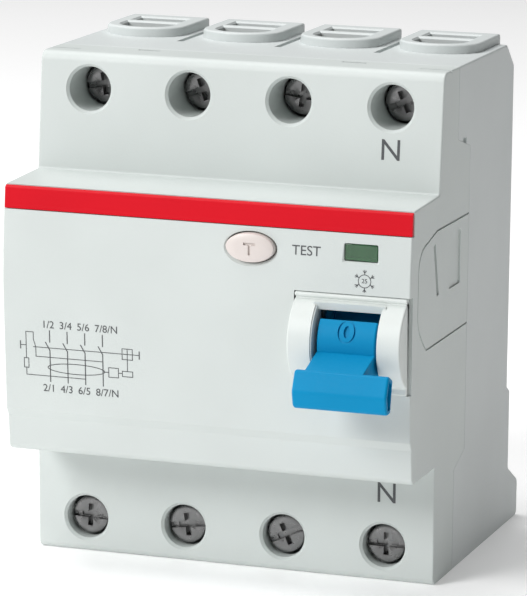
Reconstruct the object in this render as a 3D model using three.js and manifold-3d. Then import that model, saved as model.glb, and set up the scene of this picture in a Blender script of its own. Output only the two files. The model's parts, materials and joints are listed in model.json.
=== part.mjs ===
// Four-pole residual current device for a 35 mm DIN rail.
// Millimetres, +Z up. The origin is the centre of the rail seat: the rail plane is y = 0,
// the front of the device faces -y, and the poles stand side by side along x.
import * as THREE from "three";
import { mergeVertices } from "three/addons/utils/BufferGeometryUtils.js";
import Module from "manifold-3d";

const wasm = await Module();
wasm.setup();

// ---- driving dimensions ----
const HALF_WIDTH = 35; // four modules of 17.5
const TOP = 42.5;
const BOTTOM = -42.5;
const POLE_X = [-26.25, -8.75, 8.75, 26.25];
const SHOULDER_Y = -43; // front face of the terminal shoulders
const NOSE_TOP = 22.5;
const NOSE_BOTTOM = -22.5;
const WALL = 2;
const GAP = 0.3; // clearance between neighbouring pieces

const MIDDLE_SPLIT_Y = -26; // where cover and base meet, behind the nose
const TOP_SPLIT_Y = -33; // and behind the upper shoulder
const LOW_SPLIT_Y = -32; // and behind the lower shoulder

const SCREW_Z = { top: 36.5, bottom: -36.5 };
const SCREW_HEAD_Y = { top: -35, bottom: -41 };
const SCREW_HOLE_R = 3.7;
const SCREW_HEAD_R = 3.3;
const SCREW_SHANK_R = 2.4;
const SCREW_TIP_Y = -21.6;

const POCKET_HALF_WIDTH = 7.2; // terminal chamber
const POCKET_BACK_Y = -3.4;
const POCKET_Z = [30, 41]; // distance of floor and ceiling from the rail centre line
const CAGE = { halfWidth: 6.6, front: -24, back: -3.8, z0: 30.8, z1: 40.4, wall: 1.8 };
const PLATE = { halfWidth: 4.4, front: -20.8, back: -19.6 };
const RIVET = { r: 2, height: 0.6, z: 16.5 }; // fixed contact tip
const CABLE_ENTRY = { halfWidth: 4.6, front: -18.6, back: -12.0 };
const BAR_ENTRY = { halfWidth: 4.4, front: -10.6, back: -6.0 };

const TOGGLE = { y: -55.3, z: 0.7, drumR: 5.9, x0: 20.35, x1: 30.1 };
const HUMP = { y: -54.6, z: 0.8, r: 7.6, halfAngle: 1.12 }; // radians either side of level
const BEZEL = { x0: 15.6, x1: 34.5, z0: -7.2, z1: 8.6, slotX0: 19.7, slotX1: 30.6 };
const BEZEL_SLOT_Z = [-6.1, 6.95];
const BEZEL_SEAT_Y = -56.95;
const SHAFT = { r: 1.5, from: 15.9, to: 32.7 };
// bearing lugs of the toggle surround
const LUG_X = [
  [16.0, 16.9],
  [31.6, 32.5],
];
const BUTTON = { x: 8, z: 15.1, halfWidth: 4.15, halfHeight: 2.4 };
const WINDOW = { x0: 23.7, x1: 29.4, z0: 14.0, z1: 16.9 };
// swinging flag behind the window: hinge, arc plate and the two lugs that hold its pin
const SHUTTER = {
  y: -48.6,
  z: 15.45,
  x0: 23.6,
  x1: 29.6,
  outerR: 6.7,
  innerR: 6.0,
  low: -0.77,
  high: 0.25,
  pinR: 0.5,
  lugX: [
    [22.4, 23.3],
    [29.9, 30.8],
  ],
};
const STRIPE = { z0: 18.2, z1: 21.9, back: -56.6 };

const UPPER_CLIP_X = [-23.5, 23.5];

const CARRIER = { y: -27.5, z: -2, r: 3.8 };
const TOROID = { y: -20, z: -17, outerR: 12.6, innerR: 6.8, halfHeight: 4 };

const CURVE_STEPS = 4;

// ---- materials ----
const plastic = (color, roughness) =>
  new THREE.MeshStandardMaterial({ color, roughness, metalness: 0 });
const metal = (color, roughness) =>
  new THREE.MeshStandardMaterial({ color, roughness, metalness: 1 });
const HOUSING = plastic(0xdde0de, 0.55);
const BASE = plastic(0xd6dad9, 0.55);
const WHITE = plastic(0xf0f0ee, 0.5);
const RED = plastic(0xd61e2d, 0.5);
const BLUE = plastic(0x0a8fd0, 0.45);
const CREAM = plastic(0xebe1d7, 0.5);
const LENS = new THREE.MeshStandardMaterial({
  color: 0x2f7a48,
  roughness: 0.1,
  metalness: 0,
  transparent: true,
  opacity: 0.5,
});
const FLAG = plastic(0x1e8a3c, 0.6);
const BLACK = plastic(0x222222, 0.6);
const GREY = plastic(0x8a8f92, 0.6);
const STEEL = metal(0x55585c, 0.35);
const ZINC = metal(0xb8bcc0, 0.4);
const COPPER = metal(0xb87345, 0.35);
const BRASS = metal(0xc9a356, 0.35);

// ---- solids ----
function solid(geometry) {
  const bare = geometry.clone();
  bare.deleteAttribute("normal");
  bare.deleteAttribute("uv");
  const merged = mergeVertices(bare, 1e-3);
  return new wasm.Manifold(
    new wasm.Mesh({
      numProp: 3,
      vertProperties: merged.attributes.position.array,
      triVerts: new Uint32Array(merged.index.array),
    }),
  );
}

function box(x0, x1, y0, y1, z0, z1) {
  const geometry = new THREE.BoxGeometry(x1 - x0, y1 - y0, z1 - z0);
  geometry.translate((x0 + x1) / 2, (y0 + y1) / 2, (z0 + z1) / 2);
  return solid(geometry);
}

// Local x, y, z of an extrusion turned so that it runs along world x, y or z.
const ALONG = {
  x: new THREE.Matrix4().set(0, 0, 1, 0, 1, 0, 0, 0, 0, 1, 0, 0, 0, 0, 0, 1),
  y: new THREE.Matrix4().set(1, 0, 0, 0, 0, 0, -1, 0, 0, 1, 0, 0, 0, 0, 0, 1),
  z: new THREE.Matrix4(),
};

// A prism of a 2-D outline: (y, z) along x, (x, z) along y, or (x, y) along z.
function prism(shape, axis, from, to) {
  const geometry = new THREE.ExtrudeGeometry(shape, {
    depth: to - from,
    bevelEnabled: false,
    curveSegments: CURVE_STEPS,
  });
  geometry.applyMatrix4(ALONG[axis]);
  const shift = { x: [from, 0, 0], y: [0, to, 0], z: [0, 0, from] }[axis];
  geometry.translate(...shift);
  return solid(geometry);
}

// A closed outline whose corners [a, b, radius] are rounded where a radius is given.
function outline(corners) {
  const shape = new THREE.Shape();
  const at = (i) => corners[(i + corners.length) % corners.length];
  const toward = (from, to, distance) => {
    const length = Math.hypot(to[0] - from[0], to[1] - from[1]);
    const t = Math.min(distance / length, 0.5);
    return [from[0] + (to[0] - from[0]) * t, from[1] + (to[1] - from[1]) * t];
  };
  corners.forEach((corner, i) => {
    const radius = corner[2] ?? 0;
    const enter = toward(corner, at(i - 1), radius);
    const leave = toward(corner, at(i + 1), radius);
    if (i === 0) shape.moveTo(...enter);
    else shape.lineTo(...enter);
    if (radius) shape.quadraticCurveTo(corner[0], corner[1], ...leave);
  });
  shape.closePath();
  return shape;
}

function rod(axis, radius, from, to, a, b, segments = 20) {
  const geometry = new THREE.CylinderGeometry(radius, radius, to - from, segments);
  const middle = (from + to) / 2;
  if (axis === "x") {
    geometry.rotateZ(-Math.PI / 2);
    geometry.translate(middle, a, b);
  } else if (axis === "y") {
    geometry.translate(a, middle, b);
  } else {
    geometry.rotateX(Math.PI / 2);
    geometry.translate(a, b, middle);
  }
  return solid(geometry);
}

function ovalPrism(x, z, halfWidth, halfHeight, y0, y1) {
  const shape = new THREE.Shape();
  shape.absellipse(x, z, halfWidth, halfHeight, 0, 2 * Math.PI);
  const geometry = new THREE.ExtrudeGeometry(shape, {
    depth: y1 - y0,
    bevelEnabled: false,
    curveSegments: 14,
  });
  geometry.applyMatrix4(ALONG.y);
  geometry.translate(0, y1, 0);
  return solid(geometry);
}

// A round wire swept along a curve.
function wire(curve, radius, steps, sides = 6) {
  const section = new THREE.Shape();
  for (let i = 0; i < sides; i += 1) {
    const angle = (i * 2 * Math.PI) / sides;
    const point = [radius * Math.cos(angle), radius * Math.sin(angle)];
    if (i === 0) section.moveTo(...point);
    else section.lineTo(...point);
  }
  section.closePath();
  const geometry = new THREE.ExtrudeGeometry(section, { steps, extrudePath: curve });
  return solid(geometry);
}

const vector = (x, y, z) => new THREE.Vector3(x, y, z);

class Helix extends THREE.Curve {
  constructor(axis, radius, turns, from, to, a, b) {
    super();
    Object.assign(this, { axis, radius, turns, from, to, a, b });
  }

  getPoint(t) {
    const angle = 2 * Math.PI * this.turns * t;
    const along = this.from + (this.to - this.from) * t;
    const u = this.a + this.radius * Math.cos(angle);
    const v = this.b + this.radius * Math.sin(angle);
    return this.axis === "x" ? vector(along, u, v) : vector(u, along, v);
  }
}

const group = new THREE.Group();

function add(name, made, material) {
  const result = made.getMesh();
  const geometry = new THREE.BufferGeometry();
  geometry.setAttribute("position", new THREE.BufferAttribute(result.vertProperties, 3));
  geometry.setIndex(new THREE.BufferAttribute(result.triVerts, 1));
  geometry.computeVertexNormals();
  const mesh = new THREE.Mesh(geometry, material);
  mesh.name = name;
  group.add(mesh);
}

// ---- shared shapes ----

// The way from a terminal's z to the world: the lower terminals mirror the upper ones.
const SIDES = [
  { name: "top", up: 1 },
  { name: "bottom", up: -1 },
];
const zRange = (up, z0, z1) => (up > 0 ? [z0, z1] : [-z1, -z0]);

// Side outline of the cover: shoulders, nose and the stepped parting line at its back.
function coverOutline() {
  return outline([
    [LOW_SPLIT_Y, BOTTOM],
    [-42.6, BOTTOM, 1.8],
    [SHOULDER_Y, NOSE_BOTTOM],
    [-55.6, NOSE_BOTTOM, 1.6],
    [-56.2, -16.4],
    [-57.0, -15],
    [-58.3, 6],
    [-58.2, 12],
    [-57.4, NOSE_TOP, 1.6],
    [SHOULDER_Y, NOSE_TOP + 0.4],
    [-41.4, TOP, 2],
    [TOP_SPLIT_Y, TOP],
    [TOP_SPLIT_Y, 30.5],
    [MIDDLE_SPLIT_Y, 28.5],
    [MIDDLE_SPLIT_Y, -23],
    [LOW_SPLIT_Y, -25.2],
  ]);
}

// Room inside the cover, one wall thickness in from the outline and open at the back.
function coverHollow() {
  const shape = outline([
    [-20, BOTTOM + WALL],
    [-40.8, BOTTOM + WALL],
    [SHOULDER_Y + WALL, NOSE_BOTTOM + WALL],
    [-53.8, NOSE_BOTTOM + WALL],
    [-56.2, 6],
    [-56.0, 14],
    [-55.6, NOSE_TOP - WALL],
    [SHOULDER_Y + WALL, NOSE_TOP - WALL],
    [-39.6, TOP - WALL],
    [-20, TOP - WALL],
  ]);
  return prism(shape, "x", -HALF_WIDTH + WALL, HALF_WIDTH - WALL);
}

// Side outline of the base: parting line in front, rail recess and feet behind.
function baseOutline() {
  const g = 0.15;
  return outline([
    [LOW_SPLIT_Y + g, BOTTOM],
    [7.6, BOTTOM, 1.2],
    [8, -36, 1],
    [1.8, -32.6],
    [1.8, -18.8, 0.8],
    [0, -17.7],
    [0, 38.5],
    [-4.5, TOP],
    [TOP_SPLIT_Y + g, TOP],
    [TOP_SPLIT_Y + g, 30.5],
    [MIDDLE_SPLIT_Y + g, 28.5],
    [MIDDLE_SPLIT_Y + g, -23],
    [LOW_SPLIT_Y + g, -25.2],
  ]);
}

// ---- housing ----

function addFrontCover() {
  let cover = prism(coverOutline(), "x", -HALF_WIDTH, HALF_WIDTH).subtract(coverHollow());
  for (const { name, up } of SIDES) {
    const tubeBack = name === "top" ? TOP_SPLIT_Y - 0.6 : LOW_SPLIT_Y - 5;
    for (const x of POLE_X) {
      cover = cover.add(rod("y", 5.2, SHOULDER_Y + 1.8, tubeBack, x, SCREW_Z[name], 24));
      cover = cover.subtract(rod("y", SCREW_HOLE_R, -50, -20, x, SCREW_Z[name], 28));
    }
    // a cross wall on each side of the nose keeps the shoulders stiff
    const [z0, z1] = zRange(up, 27.4, 29);
    cover = cover.add(box(-34, 34, SHOULDER_Y + 1, TOP_SPLIT_Y - 0.4, z0, z1));
  }
  // seat and window of the toggle surround
  const seatZ = [BEZEL.z0 - GAP, BEZEL.z1 + GAP];
  cover = cover.subtract(box(BEZEL.x0 - GAP, 40, -70, BEZEL_SEAT_Y, ...seatZ));
  cover = cover.subtract(box(BEZEL.slotX0 - GAP, BEZEL.slotX1 + GAP, -70, -50, -6.4, 7.2));
  cover = cover.subtract(box(SHAFT.from - 0.2, SHAFT.to + 0.3, -70, -50, -2.6, 4));
  // seat of the red strip
  cover = cover.subtract(box(-34.75, 34.75, -60, STRIPE.back, STRIPE.z0 - 0.25, STRIPE.z1 + 0.25));
  // test button hole
  cover = cover.subtract(
    ovalPrism(BUTTON.x, BUTTON.z, BUTTON.halfWidth + 0.2, BUTTON.halfHeight + 0.2, -70, -50),
  );
  // indicator window: a seat for the lens and a smaller sight hole behind it
  cover = cover.subtract(box(WINDOW.x0, WINDOW.x1, -70, -57.0, WINDOW.z0, WINDOW.z1));
  cover = cover.subtract(
    box(WINDOW.x0 + 0.5, WINDOW.x1 - 0.5, -70, -50, WINDOW.z0 + 0.4, WINDOW.z1 - 0.4),
  );
  for (const [x0, x1] of SHUTTER.lugX) {
    cover = cover.add(box(x0, x1, -56.5, SHUTTER.y + 1.4, SHUTTER.z - 1.4, SHUTTER.z + 1.4));
  }
  const pinHole = rod("x", SHUTTER.pinR + 0.1, 22, 31.2, SHUTTER.y, SHUTTER.z, 12);
  add("front_cover", cover.subtract(pinHole), HOUSING);
}

// Outline of a terminal collar seen from above: straight at the back, an arc in front.
function collarOutline(x, halfWidth, front, back) {
  const shape = new THREE.Shape();
  const shoulder = front + halfWidth * 0.75;
  shape.moveTo(x - halfWidth, back);
  shape.lineTo(x - halfWidth, shoulder);
  shape.quadraticCurveTo(x - halfWidth * 0.85, front, x, front);
  shape.quadraticCurveTo(x + halfWidth * 0.85, front, x + halfWidth, shoulder);
  shape.lineTo(x + halfWidth, back);
  shape.closePath();
  return shape;
}

function addRearHousing() {
  let base = prism(baseOutline(), "x", -HALF_WIDTH, HALF_WIDTH);
  // mechanism chamber
  base = base.subtract(box(-33, 33, -40, -3.4, -26.4, 27));
  for (const { up } of SIDES) {
    const [z0, z1] = zRange(up, ...POCKET_Z);
    for (const x of POLE_X) {
      base = base.subtract(
        box(x - POCKET_HALF_WIDTH, x + POCKET_HALF_WIDTH, -40, POCKET_BACK_Y, z0, z1),
      );
      // slot that carries the terminal plate into the mechanism chamber
      const [s0, s1] = zRange(up, 25, 31);
      base = base.subtract(
        box(x - PLATE.halfWidth - 0.3, x + PLATE.halfWidth + 0.3, -21.1, -19.3, s0, s1),
      );
      if (up > 0) {
        base = base.add(prism(collarOutline(x, 7.1, -20, -3), "z", 41.5, TOP + 1.6));
      }
      // cable entry with an arched front, and the busbar entry behind it
      const [e0, e1] = zRange(up, 40.6, 50);
      base = base.subtract(
        prism(
          collarOutline(x, CABLE_ENTRY.halfWidth, CABLE_ENTRY.front, CABLE_ENTRY.back),
          "z",
          e0,
          e1,
        ),
      );
      base = base.subtract(
        box(
          x - BAR_ENTRY.halfWidth,
          x + BAR_ENTRY.halfWidth,
          BAR_ENTRY.front,
          BAR_ENTRY.back,
          e0,
          e1,
        ),
      );
    }
  }
  // guideways of the rail clips
  for (const x of UPPER_CLIP_X) {
    base = base.subtract(box(x - 10.3, x + 10.3, -1.7, 5, 20, 50));
  }
  base = base.subtract(box(-9.3, 9.3, -1.7, 20, -50, -17.6));
  add("rear_housing", base, BASE);
}

function addBezel() {
  const arc = [];
  const steps = 8;
  for (let i = 0; i <= steps; i += 1) {
    const angle = HUMP.halfAngle - (2 * HUMP.halfAngle * i) / steps;
    arc.push([HUMP.y - HUMP.r * Math.cos(angle), HUMP.z + HUMP.r * Math.sin(angle)]);
  }
  const back = BEZEL_SEAT_Y - 0.25;
  const shape = outline([
    [back, BEZEL.z1],
    [back - 0.9, BEZEL.z1],
    ...arc,
    [back - 0.6, BEZEL.z0],
    [back, BEZEL.z0],
  ]);
  let bezel = prism(shape, "x", BEZEL.x0, BEZEL.x1);
  bezel = bezel.subtract(box(BEZEL.slotX0, BEZEL.slotX1, -80, -40, ...BEZEL_SLOT_Z));
  // bearing lugs for the toggle shaft
  for (const [x0, x1] of LUG_X) {
    bezel = bezel.add(box(x0, x1, back - 0.4, -52.6, TOGGLE.z - 2.6, TOGGLE.z + 2.6));
  }
  bezel = bezel.subtract(rod("x", SHAFT.r + 0.15, 12, 33.5, TOGGLE.y, TOGGLE.z, 16));
  add("toggle_bezel", bezel, WHITE);
}

function addRedStripe() {
  const outer = prism(coverOutline(), "x", -HALF_WIDTH, HALF_WIDTH);
  const strip = outer.intersect(box(-34.5, 34.5, -60, STRIPE.back - 0.25, STRIPE.z0, STRIPE.z1));
  add("red_stripe", strip, RED);
}

// ---- terminals ----

function addTerminal(side, up, pole, x) {
  const suffix = `${side}_${pole}`;
  const z = SCREW_Z[side];
  const headY = SCREW_HEAD_Y[side];
  let screw = rod("y", SCREW_HEAD_R, headY, headY + 2.4, x, z, 20);
  screw = screw.add(rod("y", SCREW_SHANK_R, headY + 2, SCREW_TIP_Y, x, z, 14));
  screw = screw.subtract(box(x - 2.6, x + 2.6, headY - 1, headY + 1.2, z - 0.5, z + 0.5));
  screw = screw.subtract(box(x - 0.5, x + 0.5, headY - 1, headY + 1.2, z - 1.8, z + 1.8));
  add(`terminal_screw_${suffix}`, screw, STEEL);

  const [z0, z1] = zRange(up, CAGE.z0, CAGE.z1);
  const w = CAGE.wall;
  let cage = box(x - CAGE.halfWidth, x + CAGE.halfWidth, CAGE.front, CAGE.back, z0, z1);
  cage = cage.subtract(
    box(x - CAGE.halfWidth + w, x + CAGE.halfWidth - w, CAGE.front + w, CAGE.back - w, -60, 60),
  );
  cage = cage.subtract(rod("y", SCREW_SHANK_R + 0.25, -26, -21, x, z, 14));
  add(`terminal_clamp_${suffix}`, cage, ZINC);

  const [p0, p1] = zRange(up, up > 0 ? 14 : 24.4, 40);
  let plate = box(x - PLATE.halfWidth, x + PLATE.halfWidth, PLATE.front, PLATE.back, p0, p1);
  if (up > 0) {
    const rivet = rod("y", RIVET.r, PLATE.front - RIVET.height, PLATE.front + 0.5, x, RIVET.z, 12);
    plate = plate.add(rivet);
  }
  const plateName = up > 0 ? "fixed_contact" : "load_terminal";
  add(`${plateName}_${pole}`, plate, COPPER);
}

// ---- switching mechanism ----

const CONTACT_LEAN = 0.3; // radians that the open arms lean towards the front

function addContactCarrier() {
  const { y, z, r } = CARRIER;
  let bar = rod("x", r, -32.4, 32.4, y, z, 16);
  // ear and crank pin that the link rod drives
  const ear = outline([
    [y - 2.5, z, 0],
    [y + 2.5, z, 0],
    [LINK_PIN.y + 1.4, LINK_PIN.z + 1.4, 1],
    [LINK_PIN.y - 1.4, LINK_PIN.z + 1.4, 1],
  ]);
  bar = bar.add(prism(ear, "x", 16.4, 17.9));
  bar = bar.add(rod("x", 0.7, 17.5, 19.9, LINK_PIN.y, LINK_PIN.z, 10));
  for (const x of POLE_X) {
    bar = bar.subtract(contactArm(x, 0.25));
  }
  bar = bar.subtract(rod("x", 1.75, -40, 40, y, z, 12));
  add("contact_carrier", bar, BLACK);
  add("carrier_shaft", rod("x", 1.5, -32.8, 32.8, y, z, 12), STEEL);
}

// A contact arm with its tip, grown by a margin where it has to be cut out of the carrier.
function contactArm(x, margin) {
  const { y, z, r } = CARRIER;
  const lean = Math.tan(CONTACT_LEAN);
  const reach = 20.3;
  const m = margin;
  const arm = outline([
    [y - 3.4 - m, z - 4 - m],
    [y - 2.0 + m, z - 4 - m],
    [y - 2.0 - lean * 4 + m, z + r],
    [y - 0.4 + m, z + reach + m],
    [y - 1.9 - m, z + reach + m],
    [y - 3.4 - lean * 4 - m, z + r],
  ]);
  let made = prism(arm, "x", x - 2.5 - m, x + 2.5 + m);
  if (!margin) made = made.add(rod("y", 1.8, y - 1, y + 0.7, x, z + 18.5, 12));
  return made;
}

function addMovingContacts() {
  POLE_X.forEach((x, i) => add(`moving_contact_${i + 1}`, contactArm(x, 0), COPPER));
}

const LINK_PIN = { y: CARRIER.y - 1.5, z: CARRIER.z + 6.8 };
const CRANK_PIN = { y: TOGGLE.y + 2, z: TOGGLE.z + 3.46 };

function addToggle() {
  const { y, z, drumR, x0, x1 } = TOGGLE;
  let lever = rod("x", drumR, x0, x1, y, z, 32);
  const neck = outline([
    [y, z],
    [-60.6, -0.2],
    [-67.2, -2.2],
    [-66.6, -6.2],
    [-60.0, -3.9],
    [y, z - 4],
  ]);
  lever = lever.add(prism(neck, "x", x0, x1));
  const grip = outline([
    [-67.4, -1.9, 0.6],
    [-69.0, -5.4, 0.8],
    [-68.3, -8.3, 1.0],
    [-66.3, -8.3, 0.6],
    [-65.2, -3.0, 0.5],
  ]);
  lever = lever.add(prism(grip, "x", 18.8, 34.5));
  lever = lever.subtract(rod("x", 1.75, 0, 50, y, z, 14));
  lever = lever.add(rod("x", 0.8, 18, x0 + 0.5, CRANK_PIN.y, CRANK_PIN.z, 10));
  add("toggle_lever", lever, BLUE);
  add("toggle_shaft", rod("x", SHAFT.r, SHAFT.from, SHAFT.to, y, z, 16), STEEL);
  add("toggle_spring", wire(new Helix("x", 1.7, 2, 17.2, 18, y, z), 0.13, 36, 6), STEEL);
}

function addLinkRod() {
  const from = CRANK_PIN;
  const to = LINK_PIN;
  const tall = 0.9;
  let link = prism(
    outline([
      [from.y, from.z - tall],
      [to.y, to.z - tall],
      [to.y, to.z + tall],
      [from.y, from.z + tall],
    ]),
    "x",
    18.4,
    19.6,
  );
  link = link.add(rod("x", 1.9, 18.4, 19.6, from.y, from.z, 16));
  link = link.add(rod("x", 2.4, 18.4, 19.6, to.y, to.z, 16));
  link = link.subtract(rod("x", 1.05, 10, 30, from.y, from.z, 12));
  link = link.subtract(rod("x", 1.6, 10, 30, to.y, to.z, 12));
  add("link_rod", link, STEEL);
}

function addIndicator() {
  const lens = box(
    WINDOW.x0 + 0.15,
    WINDOW.x1 - 0.15,
    -57.75,
    -57.15,
    WINDOW.z0 + 0.15,
    WINDOW.z1 - 0.15,
  );
  add("indicator_window", lens, LENS);
  // The flag is an arc plate on a web, and swings about a pin held by two lugs of the cover.
  const { y, z, x0, x1, outerR, innerR, low, high } = SHUTTER;
  const tip = (angle, reach) => [y - reach * Math.cos(angle), z + reach * Math.sin(angle)];
  const steps = [0, 1, 2, 3, 4, 5, 6];
  const angles = steps.map((k) => low + ((high - low) * k) / 6);
  const arc = angles.map((angle) => tip(angle, outerR));
  const back = angles.map((angle) => tip(angle, innerR)).reverse();
  let flag = prism(outline([...arc, ...back]), "x", x0, x1);
  flag = flag.add(prism(outline([...arc, [y, z]]), "x", x0 + 2.5, x1 - 2.5));
  flag = flag.add(rod("x", 1.2, x0, x1, y, z, 14));
  flag = flag.subtract(rod("x", SHUTTER.pinR + 0.1, x0 - 1, x1 + 1, y, z, 12));
  add("indicator_flag", flag, FLAG);
  add("indicator_pin", rod("x", SHUTTER.pinR, SHUTTER.lugX[0][0], SHUTTER.lugX[1][1], y, z, 12), STEEL);
}

// ---- test circuit ----

function addTestCircuit() {
  const { x, z, halfWidth, halfHeight } = BUTTON;
  let button = ovalPrism(x, z, halfWidth, halfHeight, -58.9, -54.6);
  button = button.add(ovalPrism(x, z, halfWidth + 1.2, halfHeight + 1.2, -55.4, -54.4));
  button = button.add(rod("y", 1.4, -55, -45.6, x, z, 12));
  add("test_button", button, CREAM);
  add("test_spring", wire(new Helix("y", 2.2, 4, -53.9, -47.4, x, z), 0.35, 52, 6), STEEL);
  let rib = box(x - 3.2, x + 3.2, -46.9, -46.0, 11.5, 20.2);
  rib = rib.subtract(rod("y", 1.7, -50, -40, x, z, 14));
  add("spring_stop", rib, GREY);
  add("test_contact", box(x - 2, x + 16, -43.8, -43.3, z - 2, z + 2), BRASS);
  let resistor = rod("x", 2, -8, 2, -48, 12, 14);
  resistor = resistor.add(rod("x", 0.4, -12, 6, -48, 12, 8));
  add("test_resistor", resistor, GREY);
}

// ---- residual current sensing ----

function addToroid() {
  const { y, z, outerR, innerR, halfHeight } = TOROID;
  const ring = (outer, inner, half) =>
    rod("z", outer, z - half, z + half, 0, y, 32).subtract(rod("z", inner, -40, 0, 0, y, 32));
  add("toroid_core", ring(outerR, innerR, halfHeight), GREY);
  // The winding wraps one side of the core, like a sleeve around a bent bar.
  let winding = ring(outerR + 1, innerR - 1, halfHeight + 1);
  winding = winding.subtract(ring(outerR + GAP, innerR - GAP, halfHeight + GAP));
  winding = winding.intersect(box(-20, 20, y - 20, y + 2, z - 10, z + 10));
  add("secondary_winding", winding, COPPER);
}

function addPrimaryConductors() {
  POLE_X.forEach((x, i) => {
    const outer = Math.abs(x) > 20;
    const side = Math.sign(x);
    const y = outer ? TOROID.y - 2.2 : TOROID.y + 2.2;
    const inHole = side * 2.1;
    const points = [
      vector(x, outer ? y - 3 : y, -7.2),
      vector(x - side * 2, y, -8.4),
      vector(inHole + side * 4, y, -8.6),
      vector(inHole, y, -11.5),
      vector(inHole, y, -21),
      vector(inHole + side * 3, y, -24.0),
      vector(x, y, -24.2),
    ];
    const curve = new THREE.CatmullRomCurve3(points, false, "centripetal");
    add(`primary_conductor_${i + 1}`, wire(curve, 1.1, 26), COPPER);
  });
}

function addTripRelay() {
  let relay = box(-30, -14, -52, -38.5, -19, -4);
  relay = relay.subtract(rod("z", 1.7, -14, 0, -22, -45, 14));
  add("trip_relay", relay, GREY);
  add("relay_plunger", rod("z", 1.4, -13, 0.8, -22, -45, 12), ZINC);
  const lever = outline([
    [-50, -0.8],
    [-33.6, 8.2],
    [-33.6, 9.8],
    [-37, 9.8],
    [-50, 1.0, 0.6],
  ]);
  let trip = prism(lever, "x", -23.4, -19.4);
  trip = trip.add(rod("x", 2.4, -23.4, -19.4, -38, 7.8, 16));
  trip = trip.subtract(rod("x", 1.35, -40, 0, -38, 7.8, 14));
  add("trip_lever", trip, BLACK);
  add("trip_lever_pin", rod("x", 1.2, -32.8, -12, -38, 7.8, 12), STEEL);
}

// ---- rail clips ----

function upperClipOutline() {
  return outline([
    [-1.4, 20.4],
    [-1.4, 38.2],
    [0.7, 38.2, 0.4],
    [0.7, 35.4],
    [4.8, 18.6, 0.8],
    [4.4, 16.4, 1.0],
    [2.3, 16.6, 0.6],
    [2.1, 20.2],
    [0.2, 20.4],
  ]);
}

function addRailClips() {
  const names = ["left", "right"];
  UPPER_CLIP_X.forEach((x, i) => {
    const clip = prism(upperClipOutline(), "x", x - 10, x + 10);
    add(`upper_rail_clip_${names[i]}`, clip, BASE);
  });
  // The lower clip slides in a slot of the foot and catches the rail's lower edge.
  const lower = outline([
    [-1.4, -41.6],
    [4.6, -41.6, 0.8],
    [4.6, -37.5],
    [1.4, -36.6],
    [1.4, -21],
    [3.6, -18.4],
    [3.4, -16.4, 0.6],
    [2.2, -16.6],
    [2.1, -17.8],
    [-1.4, -18.2],
  ]);
  add("lower_rail_clip", prism(lower, "x", -9, 9), BASE);
}

// ---- the whole device ----

addFrontCover();
addRearHousing();
addBezel();
addRedStripe();
for (const { name, up } of SIDES) {
  POLE_X.forEach((x, i) => addTerminal(name, up, i + 1, x));
}
addContactCarrier();
addMovingContacts();
addToggle();
addLinkRod();
addIndicator();
addTestCircuit();
addToroid();
addPrimaryConductors();
addTripRelay();
addRailClips();

export default group;
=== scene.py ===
# The looks of a four-pole residual current device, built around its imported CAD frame.
# Shapes are drawn in millimetres and scaled to metres when a piece is finished.
# The rail plane is y = 0, the front faces -y, the rail's centre line is z = 0.
import json
import math
import random

import bmesh
import bpy
from mathutils import Matrix, Vector


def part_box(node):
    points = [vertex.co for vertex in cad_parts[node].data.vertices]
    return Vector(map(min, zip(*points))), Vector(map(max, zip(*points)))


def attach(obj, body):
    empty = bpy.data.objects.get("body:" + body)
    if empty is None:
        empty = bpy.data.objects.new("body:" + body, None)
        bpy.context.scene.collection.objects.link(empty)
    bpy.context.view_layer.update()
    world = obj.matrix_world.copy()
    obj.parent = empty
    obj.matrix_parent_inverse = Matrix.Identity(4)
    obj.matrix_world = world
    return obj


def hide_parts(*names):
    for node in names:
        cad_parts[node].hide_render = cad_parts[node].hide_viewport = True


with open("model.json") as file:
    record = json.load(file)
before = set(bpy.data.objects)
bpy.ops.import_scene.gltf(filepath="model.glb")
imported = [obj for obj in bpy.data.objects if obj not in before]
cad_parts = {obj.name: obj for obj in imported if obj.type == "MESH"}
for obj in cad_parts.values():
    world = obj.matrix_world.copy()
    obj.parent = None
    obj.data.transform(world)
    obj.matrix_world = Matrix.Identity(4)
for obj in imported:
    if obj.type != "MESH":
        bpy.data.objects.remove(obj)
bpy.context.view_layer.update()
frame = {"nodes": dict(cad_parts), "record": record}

MM = 0.001
TO_METRES = Matrix.Scale(MM, 4)


def box_mm(node):
    """Lowest and highest corners of a CAD node, in millimetres."""
    low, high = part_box(node)
    return low / MM, high / MM


# ---- driving dimensions, from the frame ----
COVER_LOW, COVER_HIGH = box_mm("front_cover")
HALF_WIDTH = COVER_HIGH.x
TOP = COVER_HIGH.z
BOTTOM = COVER_LOW.z
SHOULDER_Y = -43.0
NOSE_TOP = 22.5
NOSE_BOTTOM = -22.5
MIDDLE_SPLIT_Y = -26.0
TOP_SPLIT_Y = -33.0
LOW_SPLIT_Y = -32.0
WALL = 2.0

POLES = (1, 2, 3, 4)
SIDES = {"top": 1, "bottom": -1}


def centre(node):
    low, high = box_mm(node)
    return (low + high) / 2


POLE_X = [centre(f"terminal_screw_top_{pole}").x for pole in POLES]
SCREW_Z = centre("terminal_screw_top_1").z
SCREW_HOLE_R = 3.7
TOGGLE = Vector((25.225, centre("toggle_shaft").y, centre("toggle_shaft").z))
TOGGLE_LEFT = 20.35
TOGGLE_RIGHT = 30.1
DRUM_R = 5.9
HUMP_Y, HUMP_Z, HUMP_R = -54.6, 0.8, 7.6
SLOT_X = (19.7, 30.6)
SLOT_Z = (-6.1, 6.95)
SURROUND_BACK = -57.2
BUTTON = centre("test_button")
BUTTON_HALF = Vector((4.15, 0, 2.4))
CLIP_X = [centre("upper_rail_clip_left").x, centre("upper_rail_clip_right").x]

# ---- outlines and solids ----


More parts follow.
